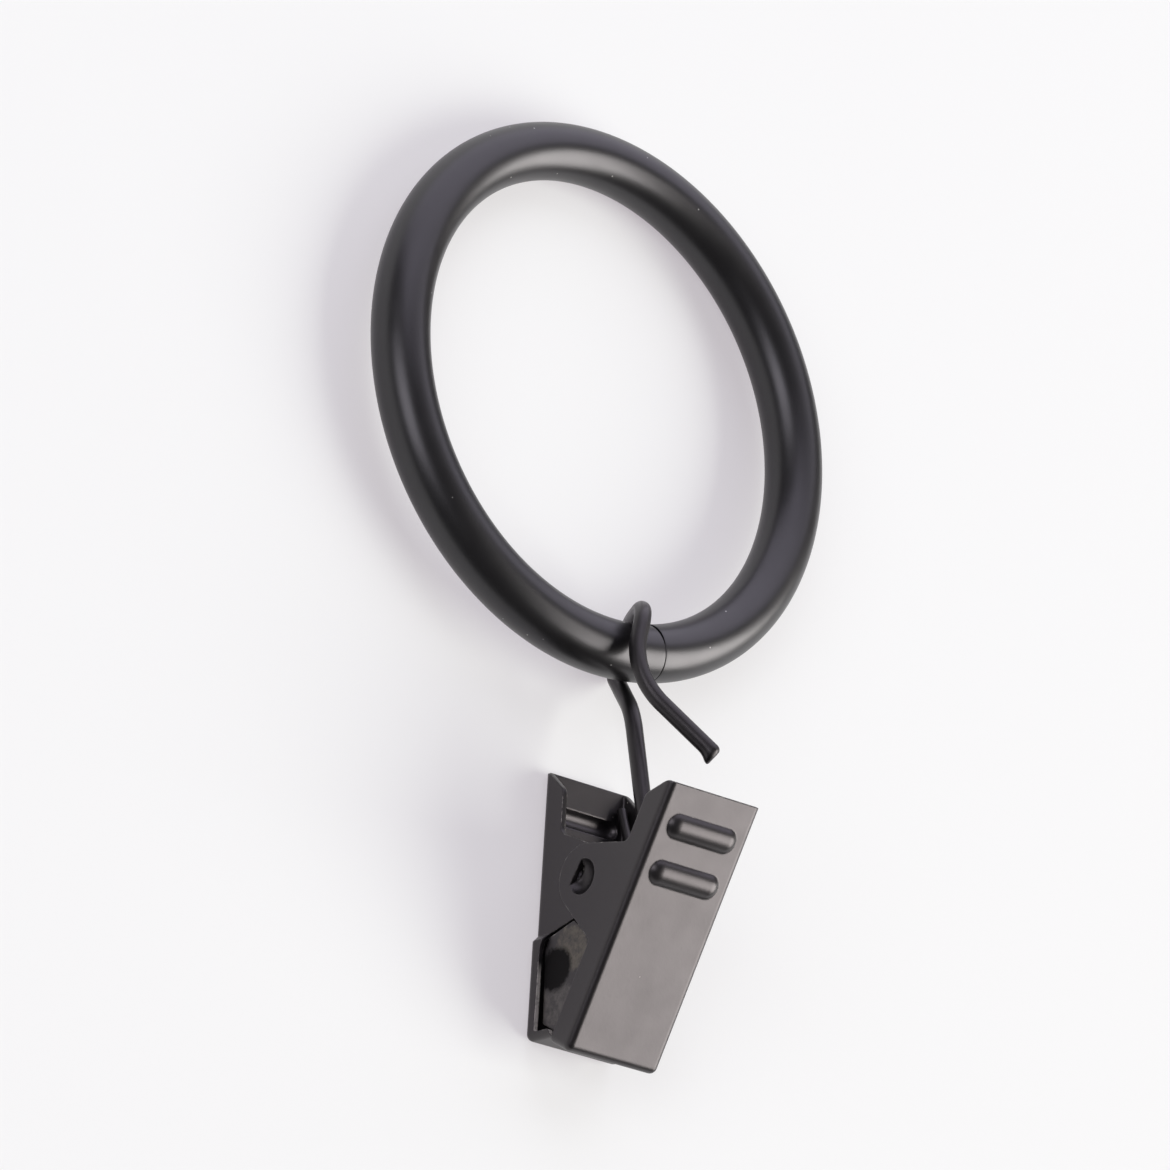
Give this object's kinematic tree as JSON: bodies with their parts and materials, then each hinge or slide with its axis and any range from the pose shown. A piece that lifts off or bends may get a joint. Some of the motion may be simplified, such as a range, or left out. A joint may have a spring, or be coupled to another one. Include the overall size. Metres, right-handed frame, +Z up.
{
  "type": "curtain ring with clip",
  "caption": "Bent-tube curtain ring in black with a wire hook hanging on it and a sprung stamped-metal clip that grips the top hem of a curtain.",
  "frame": {"origin": "centre of the ring, on the axis of the rod it slides on", "axes": "+Y along the rod, from the clip's front face to its back; +Z up; +X to the right seen from the front; the part hangs as it does on a rod"},
  "size_m": [0.0476, 0.0176, 0.0793],
  "materials": {
    "ring_paint": "satin black paint on steel tube",
    "wire_paint": "satin black paint on steel wire",
    "clip_paint": "satin black paint on stamped steel sheet, worn at the edges",
    "spring_steel": "blackened spring wire"
  },
  "bodies": {
    "ring": {"ring": "ring_paint"},
    "hook": {"wire_hook": "wire_paint"},
    "rear_jaw": {"rear_jaw": "clip_paint", "torsion_spring": "spring_steel"},
    "front_jaw": {"front_jaw": "clip_paint"}
  },
  "joints": [
    {"name": "hook_swing", "type": "hinge", "parent": "ring", "child": "hook", "pos_m": [0.00272, 0, -0.02123], "axis": [0.9919, 0, 0.1271], "range_deg": [-75, 75]},
    {"name": "clip_swing", "type": "hinge", "parent": "hook", "child": "rear_jaw", "pos_m": [0.00272, 0, -0.04159], "axis": [1, 0, 0], "range_deg": [-20, 20]},
    {"name": "jaw_open", "type": "hinge", "parent": "rear_jaw", "child": "front_jaw", "pos_m": [0.00272, 0, -0.04159], "axis": [-1, 0, 0], "range_deg": [0, 22], "stiffness_Nm_per_rad": 0.02, "springref_deg": -2.86, "deforming": ["torsion_spring"]}
  ]
}
